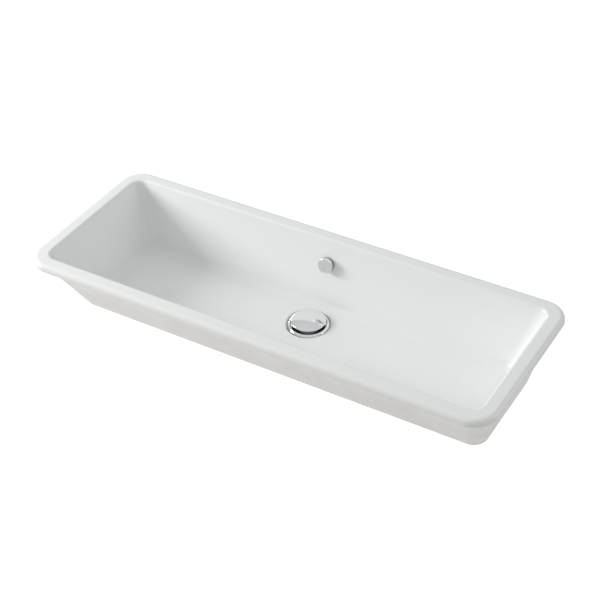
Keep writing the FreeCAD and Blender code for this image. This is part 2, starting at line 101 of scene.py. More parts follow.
class ChinaSizes(bpy.types.PropertyGroup):
    """Sizes of the china body."""
    length: metres("Length", "Whole length of the rim", basin_high.x - basin_low.x)
    width: metres("Width", "Whole width of the rim, front to back", basin_high.y - basin_low.y)
    rim_thickness: metres("Rim thickness", "Height of the rim's edge", basin_high.z)
    rim_width: size("Rim width", "Width of the rim round the mouth", 25.5)
    rim_corner: size("Rim corner", "Radius of the rim's corners in plan", 40.0)
    rim_top_round: size("Rim top round", "Round along the rim's upper edge", 9.0)
    rim_under_round: size("Rim under round", "Round along the rim's lower edge", 3.0)
    rim_overhang: size("Rim overhang", "Reach of the rim past the walls", 14.0)
    rim_cove: size("Rim cove", "Hollow round under the rim", 4.0)
    mouth_corner: size("Mouth corner", "Radius of the mouth's corners", 19.0)
    mouth_round: size("Mouth round", "Round from the rim into the bowl", 3.4)
    wall_height: size("Wall height", "Rim top to the ends of the floor", 111.0)
    floor_fall: size("Floor fall", "Fall of the floor to the waste", 6.5)
    end_run: size("End run", "Slant of the end walls", 37.5)
    front_run: size("Front run", "Slant of the front wall", 54.5)
    back_run: size("Back run", "Slant of the back wall", 24.5)
    floor_corner: size("Floor corner", "Radius of the floor's corners", 22.0)
    floor_round: size("Floor round", "Set-back of the round at the foot of the walls", 10.2)
    under_depth: size("Under depth", "Rim's underside down to the flat foot", 116.5)
    shell_corner: size("Shell corner", "Radius of the outer walls' corners", 28.0)
    shell_foot_corner: size("Shell foot corner", "The same at the foot", 24.0)
    shell_end_run: size("Shell end run", "Slant of the outer end walls", 28.0)
    shell_front_run: size("Shell front run", "Slant of the outer front wall", 67.5)
    shell_round: size("Shell round", "Set-back of the round at the outer foot", 10.5)
    housing_half: size("Housing half width", "Half width of the overflow housing", 35.0)
    housing_drop: size("Housing drop", "Rim's underside down to the housing's top", 8.0)
    housing_lead: size("Housing lead", "Height of the lead at the housing's top", 8.0)
    housing_lead_in: size("Housing lead-in", "Set-back of the housing's back at that lead", 2.4)
    housing_round: size("Housing round", "Round along the housing's edges", 5.0)
    housing_depth: size("Housing depth", "Front to back of the housing's tall part", 25.0)
    housing_lean: size("Housing lean", "Set-back of that part's front at its top", 17.0)
    housing_sink: size("Housing sink", "Flat foot up to the housing's top in the floor", 5.75)
    recess_radius: size("Recess radius", "Radius of the recess round the waste", 35.5)
    recess_depth: size("Recess depth", "Depth of that recess", 4.5)
    recess_round: size("Recess round", "Round at the foot of the recess", 2.0)
    lip_round: size("Lip round", "Round on the lip of the recess", 2.4)
    hole_radius: size("Waste hole", "Radius of the hole for the waste", 23.0)
    overflow_drop: size("Overflow drop", "Rim top down to the overflow", 41.7)
    overflow_radius: size("Overflow hole", "Radius of the overflow hole", 8.5)


class FittingSizes(bpy.types.PropertyGroup):
    """Sizes of the waste, plug and overflow cap."""
    flange_radius: metres("Flange radius", "Radius of the waste's flange", waste_high.x)
    flange_height: size("Flange height", "Height of the flange above its seat", 4.0)
    ring_width: size("Ring width", "Width of the flange's crowned ring", 4.2)
    ring_fall: size("Ring fall", "Fall of the ring to the flange's edge", 3.0)
    dish_depth: size("Dish depth", "Depth of the dish inside the ring", 2.6)
    tail_radius: size("Tail radius", "Radius over the thread of the tail", 20.955)
    bore_radius: size("Bore radius", "Radius of the bore of the tail", 18.2)
    thread_pitch: size("Thread pitch", "Height of one turn of the tail's thread", 2.309)
    thread_depth: size("Thread depth", "Depth of that thread", 1.3)
    slot_half: size("Slot half width", "Half width of the slots in the tail", 7.0)
    slot_drop: size("Slot drop", "Flange top down to those slots", 13.0)
    slot_height: size("Slot height", "Height of those slots", 11.0)
    hub_radius: size("Hub radius", "Radius of the hub inside the tail", 7.5)
    stud_hole: size("Stud hole", "Radius of the hole for the threaded stud", 4.05)
    plug_radius: metres("Plug radius", "Radius of the plug", plug_high.x)
    plug_edge: size("Plug edge", "Height of the plug's rolled edge", 1.7)
    plug_boss: size("Plug boss", "Radius of the boss under the plug", 5.5)
    boss_height: size("Boss height", "Height of that boss", 5.0)
    plug_travel: size("Plug travel", "Way that the plug goes down", 5.3)
    spring_wire: size("Spring wire", "Thickness of the return spring's wire", 0.9)
    spring_turns: bpy.props.IntProperty(name="Spring turns", description="Turns of the return spring",
                                        default=5, min=1)
    cap_radius: size("Cap radius", "Radius of the overflow cap", 12.0)
    cap_stand_off: size("Cap stand-off", "Wall to the face of the cap", 11.2)
    cap_face: size("Cap face", "Thickness of the cap's face", 2.2)
    cap_skirt: size("Cap skirt", "Depth of the cap from its face to its open edge", 7.0)
    cap_wall: size("Cap wall", "Thickness of the cap's skirt", 1.5)
    cap_edge: size("Cap edge", "Round along the edge of the cap", 0.9)
    nut_chamfer: size("Nut chamfer", "Set-back of the chamfer on the nuts", 1.2)


class FinishColours(bpy.types.PropertyGroup):
    """Colours and gloss of the finishes."""
    glaze: colour("Glaze", "Colour of the glazed china", (0.902, 0.907, 0.9))
    glaze_pool: colour("Glaze pool", "Colour where the glaze lies thicker", (0.887, 0.895, 0.892))
    glaze_gloss: share("Glaze roughness", "Lowest roughness of the glaze", 0.1)
    # Thinner, warmer glaze of the outside, also darkened to paint in the shade that the outside lies in
    bare: colour("Thin glaze with painted shade", "Colour of the thinly glazed outside", (0.628, 0.617, 0.588))
    # Painted shade: the colour that the rim's outer edge darkens into towards its lower edge
    rim_edge_shade: colour("Rim edge", "Colour low on the rim's outer edge", (0.66, 0.66, 0.645))
    chrome: colour("Chrome", "Colour of the plating", (0.95, 0.955, 0.96))
    brass: colour("Brass", "Colour of the bare brass", (0.78, 0.57, 0.26))
    rubber: colour("Rubber", "Colour of the black rubber", (0.022, 0.022, 0.024))


class StageSettings(bpy.types.PropertyGroup):
    """Camera, floor and lights."""
    floor_drop: metres("Floor drop", "Rim's underside down to the floor", 0.85)
    lens: bpy.props.FloatProperty(name="Lens", description="Focal length", default=84.61,
                                  min=1.0, subtype="DISTANCE_CAMERA")
    key_power: power("Key light", "Power of the big soft light on the left", 46.0)
    fill_power: power("Fill light", "Power of the weak light on the right", 4.5)
    sky: share("Sky", "Strength of the light from above", 0.66, 10.0)
    horizon: share("Horizon", "Strength of the light from the sides", 0.41, 10.0)
    floor_glow: share("Floor glow", "Light that the pale floor gives off", 0.2)
    floor_white: share("Floor white", "The same, as the camera sees the floor", 0.6)


# Selecting and shaping
def everything_off():
    if bpy.context.object and bpy.context.object.mode != "OBJECT":
        bpy.ops.object.mode_set(mode="OBJECT")
    bpy.ops.object.select_all(action="DESELECT")


def only(piece):
    everything_off()
    piece.select_set(True)
    bpy.context.view_layer.objects.active = piece


def move(x, y, z):
    bpy.ops.transform.translate(value=(x, y, z))


def extrude_up(height):
    bpy.ops.mesh.extrude_region_move(TRANSFORM_OT_translate={"value": (0, 0, height)})


def settle():
    """Move the place, turn and scale of the selected pieces into their meshes."""
    bpy.ops.object.transform_apply(location=True, rotation=True, scale=True)


def place_in_mesh(name):
    """Name the new piece and settle it."""
    piece = bpy.context.object
    piece.name = name
    piece.data.name = name
    settle()
    return piece


def pick_all():
    bpy.ops.mesh.select_all(action="SELECT")


def pick_none():
    bpy.ops.mesh.select_all(action="DESELECT")


def open_mesh(piece, kind="EDGE"):
    only(piece)
    bpy.ops.object.mode_set(mode="EDIT")
    bpy.ops.mesh.select_mode(type=kind)
    pick_none()


def close_mesh():
    bpy.ops.object.mode_set(mode="OBJECT")


def pick(piece, kind, fits):
    """Select the vertices, edges or faces of an open mesh that fit, and nothing else."""
    bpy.ops.mesh.select_mode(type=kind)
    pick_none()
    mesh = bmesh.from_edit_mesh(piece.data)
    found = 0
    for item in {"VERT": mesh.verts, "EDGE": mesh.edges, "FACE": mesh.faces}[kind]:
        if fits(item):
            item.select_set(True)
            found += 1
    mesh.select_flush_mode()
    bmesh.update_edit_mesh(piece.data)
    if not found:
        raise RuntimeError("nothing to select on " + piece.name)


def pick_group(*names):
    bpy.ops.mesh.select_mode(type="EDGE")
    pick_none()
    for name in names:
        bpy.ops.object.vertex_group_set_active(group=name)
        bpy.ops.object.vertex_group_select()


def both_ends(edge, fits):
    return all(fits(vert.co) for vert in edge.verts)


def is_crease(edge, degrees=25.0):
    return len(edge.link_faces) == 2 and edge.calc_face_angle() > math.radians(degrees)


def round_edges(offset, segments):
    bpy.ops.mesh.bevel(affect="EDGES", offset=offset, segments=segments, profile=0.5, clamp_overlap=False)


def face_outwards():
    """Weld an open mesh and turn its faces outwards."""
    pick_all()
    bpy.ops.mesh.remove_doubles(threshold=0.001 * mm)
    pick_all()
    bpy.ops.mesh.normals_make_consistent(inside=False)


def weld(piece):
    open_mesh(piece)
    face_outwards()
    close_mesh()


def shape_with(piece, kind, **settings):
    """Add a modifier with its settings to a piece and apply it."""
    only(piece)
    bpy.ops.object.modifier_add(type=kind)
    modifier = piece.modifiers[-1]
    for name, value in settings.items():
        setattr(modifier, name, value)
    bpy.ops.object.modifier_apply(modifier=modifier.name)


def combine(piece, tool, operation):
    """Join, cut or cross a piece with a tool piece, which is used up."""
    shape_with(piece, "BOOLEAN", object=tool, operation=operation, solver="EXACT")
    bpy.data.objects.remove(tool)
    if not piece.data.polygons:
        raise RuntimeError("nothing left of " + piece.name)


def join(piece, others):
    only(piece)
    for other in others:
        other.select_set(True)
    bpy.ops.object.join()


def smooth(piece, degrees=40.0, weighted=True):
    only(piece)
    bpy.ops.object.shade_smooth_by_angle(angle=math.radians(degrees))
    if weighted:
        shape_with(piece, "WEIGHTED_NORMAL", keep_sharp=True, weight=80)


def arc(centre_radius, centre_height, radius, start, end, steps=6):
    """Rows of radius and height along an arc, with angles from the outward direction."""
    rows = []
    for step in range(steps + 1):
        angle = math.radians(start + (end - start) * step / steps)
        rows.append((centre_radius + radius * math.cos(angle), centre_height + radius * math.sin(angle)))
    return rows


def turned(name, rows, centre=(0.0, 0.0), steps=96):
    """Piece turned about a vertical axis, ring after ring, from rows of radius and height.

    A first or last row of no radius is a pole. Otherwise the last ring joins the first.
    """
    rings = [row for row in rows if row[0] > 0.0]
    everything_off()
    bpy.ops.mesh.primitive_circle_add(
        vertices=steps, radius=rings[0][0], fill_type="NOTHING",
        location=(centre[0], centre[1], rings[0][1]),
    )
    piece = place_in_mesh(name)
    open_mesh(piece)
    pick_all()

    def next_ring(old, new):
        extrude_up(new[1] - old[1])
        scale = new[0] / old[0]
        bpy.ops.transform.resize(value=(scale, scale, 1), center_override=(centre[0], centre[1], new[1]))

    def pole(old, height):
        extrude_up(height - old[1])
        bpy.ops.mesh.merge(type="CENTER")

    for old, new in zip(rings, rings[1:]):
        next_ring(old, new)
    if rows[-1][0] > 0.0:
        next_ring(rings[-1], rings[0])
    else:
        pole(rings[-1], rows[-1][1])
        first_radius, first_height = rings[0]

        def on_first_ring(place):
            reach = math.hypot(place.x - centre[0], place.y - centre[1])
            return abs(reach - first_radius) < tiny and abs(place.z - first_height) < tiny

        pick(piece, "EDGE", lambda edge: both_ends(edge, on_first_ring))
        pole(rings[0], rows[0][1])
    face_outwards()
    close_mesh()
    return piece


def block(name, low, high, edge_round=0.0, segments=2):
    """Block between two corners, with its edges rounded."""
    everything_off()
    middle = [(a + b) / 2 for a, b in zip(low, high)]
    bpy.ops.mesh.primitive_cube_add(size=1, location=middle)
    bpy.context.object.scale = [b - a for a, b in zip(low, high)]
    piece = place_in_mesh(name)
    if edge_round:
        open_mesh(piece)
        pick_all()
        round_edges(edge_round, segments)
        close_mesh()
    return piece


def repeated(piece, count, centre=(0.0, 0.0)):
    """Copies of a piece spread evenly about a vertical axis, each with its own mesh."""
    pieces = [piece]
    middle = Vector((centre[0], centre[1], 0))
    for k in range(1, count):
        only(piece)
        bpy.ops.object.duplicate()
        copy = bpy.context.object
        turn = Matrix.Rotation(2 * math.pi * k / count, 4, "Z")
        copy.matrix_world = Matrix.Translation(middle) @ turn @ Matrix.Translation(-middle)
        settle()
        pieces.append(copy)
    return pieces


def wind(piece, steps, rise, turns, sides):
    """Wind an open outline up round the waste's axis and close its two ends."""
    shape_with(piece, "SCREW", axis="Z", steps=steps, render_steps=steps, screw_offset=rise,
               iterations=turns, use_merge_vertices=False)
    piece.location = (*waste_axis, 0)
    settle()
    open_mesh(piece)
    pick(piece, "EDGE", lambda edge: len(edge.link_faces) == 1)
    bpy.ops.mesh.fill_holes(sides=sides)
    face_outwards()
    close_mesh()


def coat(piece, *names):
    """Give a piece these finishes and no others."""
    made = finishes(bpy.context.scene)
    piece.data.materials.clear()
    for name in names:
        piece.data.materials.append(made[name])


def hand_over(piece, body, slot, *nodes):
    """Let a finished piece ride on its body in place of its CAD nodes."""
    coat(piece, slot_finishes[slot])
    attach(piece, body)
    if nodes:
        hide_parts(*nodes)


# Finishes
def colour_mix(nodes):
    """New node that mixes two colours: its factor, first, second and result sockets."""
    mix = nodes.new("ShaderNodeMix")
    mix.data_type = "RGBA"
    return mix.inputs[0], mix.inputs[6], mix.inputs[7], mix.outputs[2]


def uneven_finish():
    """Node group: slow drift between two tints, patchy gloss and a fine relief."""
    name = "Uneven finish"
    if name in bpy.data.node_groups:
        return bpy.data.node_groups[name]
    group = bpy.data.node_groups.new(name, "ShaderNodeTree")
    face = group.interface
    for label in ("Tint", "Second tint"):
        face.new_socket(label, in_out="INPUT", socket_type="NodeSocketColor")
    for label in ("Smoothest", "Roughest", "Tint scale", "Gloss scale", "Relief scale"):
        face.new_socket(label, in_out="INPUT", socket_type="NodeSocketFloat")
    face.new_socket("Color", in_out="OUTPUT", socket_type="NodeSocketColor")
    face.new_socket("Roughness", in_out="OUTPUT", socket_type="NodeSocketFloat")
    face.new_socket("Height", in_out="OUTPUT", socket_type="NodeSocketFloat")
    nodes, links = group.nodes, group.links
    inputs = nodes.new("NodeGroupInput")
    outputs = nodes.new("NodeGroupOutput")
    place = nodes.new("ShaderNodeTexCoord")
    noises = []
    for label, detail in (("Tint scale", 2.0), ("Gloss scale", 4.0), ("Relief scale", 3.0)):
        noise = nodes.new("ShaderNodeTexNoise")
        noise.inputs["Detail"].default_value = detail
        links.new(place.outputs["Object"], noise.inputs["Vector"])
        links.new(inputs.outputs[label], noise.inputs["Scale"])
        noises.append(noise)
    drift, patches, relief = noises
    factor, first, second, mixed = colour_mix(nodes)
    links.new(drift.outputs["Fac"], factor)
    links.new(inputs.outputs["Tint"], first)
    links.new(inputs.outputs["Second tint"], second)
    gloss = nodes.new("ShaderNodeMapRange")
    gloss.inputs["From Min"].default_value = 0.3
    gloss.inputs["From Max"].default_value = 0.7
    links.new(patches.outputs["Fac"], gloss.inputs["Value"])
    links.new(inputs.outputs["Smoothest"], gloss.inputs["To Min"])
    links.new(inputs.outputs["Roughest"], gloss.inputs["To Max"])
    links.new(mixed, outputs.inputs["Color"])
    links.new(gloss.outputs["Result"], outputs.inputs["Roughness"])
    links.new(relief.outputs["Fac"], outputs.inputs["Height"])
    return group


def finish(name, tint, second_tint, gloss, scales, relief=0.0, relief_depth=0.1 * mm, **shader_values):
    """Material with an uneven finish.

    gloss is its lowest and highest roughness, and scales are those of the tints, gloss and relief.
    Values that are the same all over go on the shader itself.
    """
    material = bpy.data.materials.new(name)
    material.use_nodes = True
    nodes, links = material.node_tree.nodes, material.node_tree.links
    shader = nodes["Principled BSDF"]
    uneven = nodes.new("ShaderNodeGroup")
    uneven.node_tree = uneven_finish()
    for socket, value in zip(uneven.inputs, ((*tint, 1.0), (*second_tint, 1.0), *gloss, *scales)):
        socket.default_value = value
    links.new(uneven.outputs["Color"], shader.inputs["Base Color"])
    links.new(uneven.outputs["Roughness"], shader.inputs["Roughness"])
    if relief:
        bump = nodes.new("ShaderNodeBump")
        bump.inputs["Strength"].default_value = relief
        bump.inputs["Distance"].default_value = relief_depth
        links.new(uneven.outputs["Height"], bump.inputs["Height"])
        links.new(bump.outputs["Normal"], shader.inputs["Normal"])
    for label, value in shader_values.items():
        shader.inputs[label.replace("_", " ")].default_value = value
    return material


def paint_shade_down(material, tint, high, low):
    """Paint shade into the colour of a material: blend it into another tint between two heights."""
    nodes, links = material.node_tree.nodes, material.node_tree.links
    base = nodes["Principled BSDF"].inputs["Base Color"]
    place = nodes.new("ShaderNodeTexCoord")
    height = nodes.new("ShaderNodeSeparateXYZ")
    amount = nodes.new("ShaderNodeMapRange")
    amount.inputs["From Min"].default_value = high
    amount.inputs["From Max"].default_value = low
    factor, first, second, mixed = colour_mix(nodes)
    second.default_value = (*tint, 1.0)
    links.new(base.links[0].from_socket, first)
    links.new(place.outputs["Object"], height.inputs["Vector"])
    links.new(height.outputs["Z"], amount.inputs["Value"])
    links.new(amount.outputs["Result"], factor)
    links.new(mixed, base)


def shaded(tint, amount):
    return tuple(value * amount for value in tint)


def make_finishes(scene):
    colours = scene.finish_colours
    smoothest = colours.glaze_gloss
    for name in ("Glazed china", "Rim edge painted shade"):
        finish(name, colours.glaze, colours.glaze_pool, (smoothest, smoothest * 2),
               (6.0, 14.0, 45.0), relief=0.12, relief_depth=0.3 * mm, IOR=1.5,
               Coat_Weight=0.2, Coat_Roughness=0.1)
    # Painted shade: the rim edge's copy of the glaze darkens from the rim top down to a third of its
    # height
    rim_top = scene.china_sizes.rim_thickness
    paint_shade_down(bpy.data.materials["Rim edge painted shade"], colours.rim_edge_shade, rim_top, rim_top / 3)
    # The outside's rougher, warmer thin glaze, darkened to paint in the shade below the rim
    finish("Thin glaze with painted shade", colours.bare, shaded(colours.bare, 0.93), (0.32, 0.5),
           (18.0, 40.0, 260.0), relief=0.3, relief_depth=0.2 * mm, IOR=1.5)
    finish("Polished chrome", colours.chrome, shaded(colours.chrome, 0.95), (0.06, 0.13),
           (40.0, 90.0, 160.0), relief=0.05, relief_depth=0.05 * mm, Metallic=1.0)
    finish("Bare brass", colours.brass, shaded(colours.brass, 0.78), (0.24, 0.42),
           (60.0, 150.0, 900.0), relief=0.15, relief_depth=0.05 * mm, Metallic=1.0)
    finish("Spring steel", (0.56, 0.57, 0.58), (0.47, 0.48, 0.49), (0.2, 0.34),
           (120.0, 300.0, 400.0), Metallic=1.0)
    finish("Black rubber", colours.rubber, shaded(colours.rubber, 1.7), (0.55, 0.72),
           (50.0, 120.0, 1200.0), relief=0.2)
    finish("Grey plastic", (0.38, 0.39, 0.40), (0.34, 0.35, 0.36), (0.36, 0.5),
           (40.0, 90.0, 1100.0), relief=0.12)
    finish("White plastic", (0.78, 0.78, 0.76), (0.74, 0.74, 0.72), (0.3, 0.44),
           (40.0, 90.0, 1100.0), relief=0.1)
    finish("Acetal plastic", (0.70, 0.71, 0.70), (0.64, 0.65, 0.64), (0.28, 0.4),
           (60.0, 120.0, 1400.0), relief=0.08)
    finish("White foam", (0.72, 0.72, 0.69), (0.62, 0.62, 0.60), (0.8, 0.95),
           (90.0, 200.0, 1600.0), relief=0.5, relief_depth=0.2 * mm)


def finishes(scene):
    """All materials of the washbasin by name, made once."""
    if "Glazed china" not in bpy.data.materials:
        make_finishes(scene)
    return bpy.data.materials


slot_finishes = {
    "glazed_china": "Glazed china",
    "polished_chrome": "Polished chrome",
    "raw_brass": "Bare brass",
    "spring_steel": "Spring steel",
}
node_finishes = {
    "overflow_insert": "Grey plastic",
    "overflow_seal": "Black rubber",
    "flange_gasket": "White foam",
    "under_gasket": "Black rubber",
    "slip_washer": "White plastic",
    "plug_seal": "Black rubber",
    "seal_retainer": "White plastic",
    "plunger": "Polished chrome",
    "cam_rotor": "Acetal plastic",
    "cartridge_housing": "Acetal plastic",
    "cartridge_cap": "Acetal plastic",
    "wiper_ring": "Black rubber",
    "cartridge_stud": "Bare brass",
}


# China
long_cuts, short_cuts, corner_steps = 39, 11, 12


def outline(name, half_x, front, back, radius, height):
    """Closed line of edges round a rectangle with round corners, in its own vertex group."""
    everything_off()
    bpy.ops.mesh.primitive_plane_add(size=2, location=(0, (front + back) / 2, height))
    bpy.context.object.scale = (half_x, (back - front) / 2, 1)
    piece = place_in_mesh(name)
    open_mesh(piece, "VERT")
    pick_all()
    bpy.ops.mesh.bevel(affect="VERTICES", offset=radius, segments=corner_steps, profile=0.5)
    bpy.ops.mesh.delete(type="ONLY_FACE")
    for axis, cuts in ((0, long_cuts), (1, short_cuts)):
        pick(piece, "EDGE",
             lambda edge: abs(edge.verts[0].co[axis] - edge.verts[1].co[axis]) > 2 * radius)
        bpy.ops.mesh.subdivide(number_cuts=cuts)
    pick_all()
    bpy.ops.object.vertex_group_assign_new()
    piece.vertex_groups.active.name = name
    close_mesh()
    return piece


def sag(piece, half_x, fall, middle, front_slope, back_slope):
    """Lower the floor's outline towards the waste, along the slanted walls."""
    radius = (half_x ** 2 + fall ** 2) / (2 * fall)
    places = sorted({round(abs(vert.co.x), 6) for vert in piece.data.vertices})
    open_mesh(piece, "VERT")
    for place in places:
        drop = fall - radius + math.sqrt(radius ** 2 - place ** 2)
        if drop < 0.001 * mm:
            continue
        for slope, is_back in ((front_slope, False), (-back_slope, True)):
            pick(piece, "VERT", lambda vert: abs(abs(vert.co.x) - place) < tiny / 5
                 and (vert.co.y > middle) == is_back)
            move(0, slope * drop, -drop)
    close_mesh()


def rim_inset(place, sizes):
    """How far a place lies inside the rim's outline, seen from above."""
    past_x = abs(place.x) - sizes.length / 2 + sizes.rim_corner
    past_y = abs(place.y) - sizes.width / 2 + sizes.rim_corner
    reach = math.hypot(max(past_x, 0), max(past_y, 0)) + min(max(past_x, past_y), 0)
    return sizes.rim_corner - reach


# Mask for the thin glaze with its painted shade
def is_outside(face, sizes):
    """Whether a face of the china lies below the rim and outside the bowl."""
    place, normal = face.center, face.normal
    foot_band, downwards = 3 * mm, -0.2
    if place.z > -tiny:
        return False
    if place.z < foot_band - sizes.under_depth:
        return True
    return place.x * normal.x + place.y * normal.y > 0 or normal.z < downwards


def put_on_wall(piece, sizes):
    """Turn and move a piece from the origin to the overflow hole, square to the back wall."""
    only(piece)
    lean = math.radians(90) - math.atan(sizes.back_run / sizes.wall_height)
    back = sizes.width / 2 - sizes.rim_width - sizes.back_run * sizes.overflow_drop / sizes.wall_height
    piece.rotation_euler = (lean, 0, 0)
    piece.location = (0, back, sizes.rim_thickness - sizes.overflow_drop)
    settle()


class WASHBASIN_OT_china(bpy.types.Operator):
    """Model the china body: rim, bowl, outer walls, overflow housing and holes"""
    bl_idname = "washbasin.china"
    bl_label = "China body"
    bl_options = {"REGISTER", "UNDO"}

    def shell(self, sizes):
        half_x, half_y = sizes.length / 2, sizes.width / 2
        shell_x, shell_y = half_x - sizes.rim_overhang, half_y - sizes.rim_overhang
        mouth_x, mouth_y = half_x - sizes.rim_width, half_y - sizes.rim_width
        front_slope = sizes.front_run / sizes.wall_height
        back_slope = sizes.back_run / sizes.wall_height
        floor_x = mouth_x - sizes.end_run
        floor_front, floor_back = sizes.front_run - mouth_y, mouth_y - sizes.back_run
        floor_z = sizes.rim_thickness - sizes.wall_height
        apart = 20 * mm
        rows = (
            ("foot", shell_x - sizes.shell_end_run, sizes.shell_front_run - shell_y,
             shell_y - back_slope * sizes.under_depth, sizes.shell_foot_corner, -sizes.under_depth),
            ("shell", shell_x, -shell_y, shell_y, sizes.shell_corner, -apart),
            ("rim_under", half_x, -half_y, half_y, sizes.rim_corner, 0),
            ("rim_top", half_x, -half_y, half_y, sizes.rim_corner, sizes.rim_thickness),
            ("mouth", mouth_x, -mouth_y, mouth_y, sizes.mouth_corner, sizes.rim_thickness + apart),
            ("floor", floor_x, floor_front, floor_back, sizes.floor_corner, floor_z),
        )
        lines = [outline(*row) for row in rows]
        middle = (floor_front + floor_back) / 2
        sag(lines[-1], floor_x, sizes.floor_fall, middle, front_slope, back_slope)
        body = lines[0]
        join(body, lines[1:])
        body.name = body.data.name = "china_body"
        open_mesh(body)
        names = [row[0] for row in rows]
        for lower, upper in zip(names, names[1:]):
            pick_group(lower, upper)
            bpy.ops.mesh.bridge_edge_loops()
        for name, way in (("shell", apart), ("mouth", -apart)):
            pick_group(name)
            move(0, 0, way)
        pick_group("foot")
        bpy.ops.mesh.edge_face_add()
        straight = floor_x - sizes.floor_corner + tiny

        def on_floor(place):
            return mm - sizes.under_depth < place.z < floor_z + tiny

        pick(body, "EDGE", lambda edge: both_ends(
            edge, lambda place: on_floor(place) and abs(place.x) < straight))
        bpy.ops.mesh.bridge_edge_loops()
        for side in (-1, 1):
            pick(body, "EDGE", lambda edge: both_ends(
                edge, lambda place: on_floor(place) and side * place.x > straight - 2 * tiny))
            bpy.ops.mesh.edge_face_add()
        face_outwards()

        def is_outer(place):
            """Whether a place is nearer the rim's outline than the walls below it."""
            return rim_inset(place, sizes) < sizes.rim_overhang / 2

        def at(height, outer):
            return lambda place: abs(place.z - height) < tiny and is_outer(place) == outer

        for fits, offset, segments in (
            (on_floor, sizes.floor_round, 5),
            (at(sizes.rim_thickness, False), sizes.mouth_round, 5),
            (at(sizes.rim_thickness, True), sizes.rim_top_round, 8),
            (at(0, True), sizes.rim_under_round, 4),
            (at(0, False), sizes.rim_cove, 4),
            (lambda place: abs(place.z + sizes.under_depth) < tiny, sizes.shell_round, 6),
        ):
            pick(body, "EDGE", lambda edge: both_ends(edge, fits) and is_crease(edge))
            round_edges(offset, segments)
        close_mesh()
        return body

    def housing(self, sizes):
        """Round-fronted boss under the floor, carried up behind the bowl."""
        half = sizes.housing_half
        back = sizes.width / 2 - sizes.rim_overhang
        split = back - sizes.housing_depth
        foot, top = basin_low.z, sizes.housing_sink - sizes.under_depth
        piece = block("housing", (-half, waste_y - half, foot), (half, back, top))

        def upright(edge, fits):
            return both_ends(edge, fits) and abs(edge.verts[0].co.z - edge.verts[1].co.z) > mm

        def round_the_foot(edge):
            first, second = edge.link_faces
            return (both_ends(edge, lambda place: place.z < foot + tiny)
                    and abs(first.normal.z - second.normal.z) > 0.5)

        def round_some(offset, segments, fits):
            pick(piece, "EDGE", fits)
            round_edges(offset, segments)

        open_mesh(piece)
        round_some(half - tiny, 16, lambda edge: upright(edge, lambda place: place.y < waste_y))
        pick_all()
        bpy.ops.mesh.bisect(plane_co=(0, split, 0), plane_no=(0, 1, 0))
        pick(piece, "FACE", lambda face: face.normal.z > 0.9 and face.calc_center_median().y > split)
        extrude_up(-sizes.housing_drop - top)
        pick(piece, "VERT", lambda vert: vert.co.z > top + mm and vert.co.y < split + mm)
        move(0, sizes.housing_lean, 0)
        pick_all()
        lead = -sizes.housing_drop - sizes.housing_lead
        bpy.ops.mesh.bisect(plane_co=(0, 0, lead), plane_no=(0, 0, 1))
        pick(piece, "VERT", lambda vert: vert.co.z > lead + mm and vert.co.y > back - mm)
        move(0, -sizes.housing_lead_in, 0)
        behind = back - sizes.housing_lead_in - mm
        round_some(sizes.housing_round, 4, lambda edge: upright(edge, lambda place: place.y > behind))
        round_some(sizes.housing_round, 4, round_the_foot)
        face_outwards()
        close_mesh()
        return piece

    def cut_waste_seat(self, body, sizes):
        centre = Vector((*waste_axis, 0))
        radius, foot_round = sizes.recess_radius, sizes.recess_round
        floor_z = sizes.rim_thickness - sizes.wall_height - sizes.floor_fall
        seat = floor_z - sizes.recess_depth
        above, facet = floor_z + 8 * mm, 0.06 * mm
        rows = [(0, seat)] + arc(radius - foot_round, seat + foot_round, foot_round, -90, 0)
        rows += [(radius, above), (0, above)]
        combine(body, turned("recess", rows, centre), "DIFFERENCE")

        def on_lip(place):
            reach = (Vector((place.x, place.y, 0)) - centre).length
            return abs(reach - radius) < facet and place.z > seat + foot_round + mm / 2

        open_mesh(body)
        pick(body, "EDGE", lambda edge: both_ends(edge, on_lip))
        round_edges(sizes.lip_round, 4)
        close_mesh()
        low, high = basin_low.z - mm, seat + mm
        rows = [(0, low), (sizes.hole_radius, low), (sizes.hole_radius, high), (0, high)]
        combine(body, turned("waste_hole", rows, centre), "DIFFERENCE")

    def cut_overflow(self, body, sizes):
        radius, behind, before = sizes.overflow_radius, -13 * mm, 6 * mm
        rows = [(0, behind), (radius, behind), (radius, before), (0, before)]
        hole = turned("overflow_hole", rows, steps=64)
        put_on_wall(hole, sizes)
        combine(body, hole, "DIFFERENCE")

    def execute(self, context):
        sizes = context.scene.china_sizes
        body = self.shell(sizes)
        combine(body, self.housing(sizes), "UNION")
        self.cut_waste_seat(body, sizes)
        self.cut_overflow(body, sizes)
        weld(body)
        only(body)
        bpy.ops.object.vertex_group_remove(all=True)
        smooth(body)
        hand_over(body, "basin", "glazed_china", "basin_body")
        coat(body, "Glazed china", "Thin glaze with painted shade", "Rim edge painted shade")
        # Slots: 0 glaze in and round the bowl, 1 thin glaze with painted shade on the outside, 2 glaze
        # with painted shade on the rim's outer band
        for face in body.data.polygons:
            on_shaded_rim_edge = face.center.z > 0 and rim_inset(face.center, sizes) < sizes.rim_width / 2
            face.material_index = 2 if on_shaded_rim_edge else 1 if is_outside(face, sizes) else 0
        return {"FINISHED"}


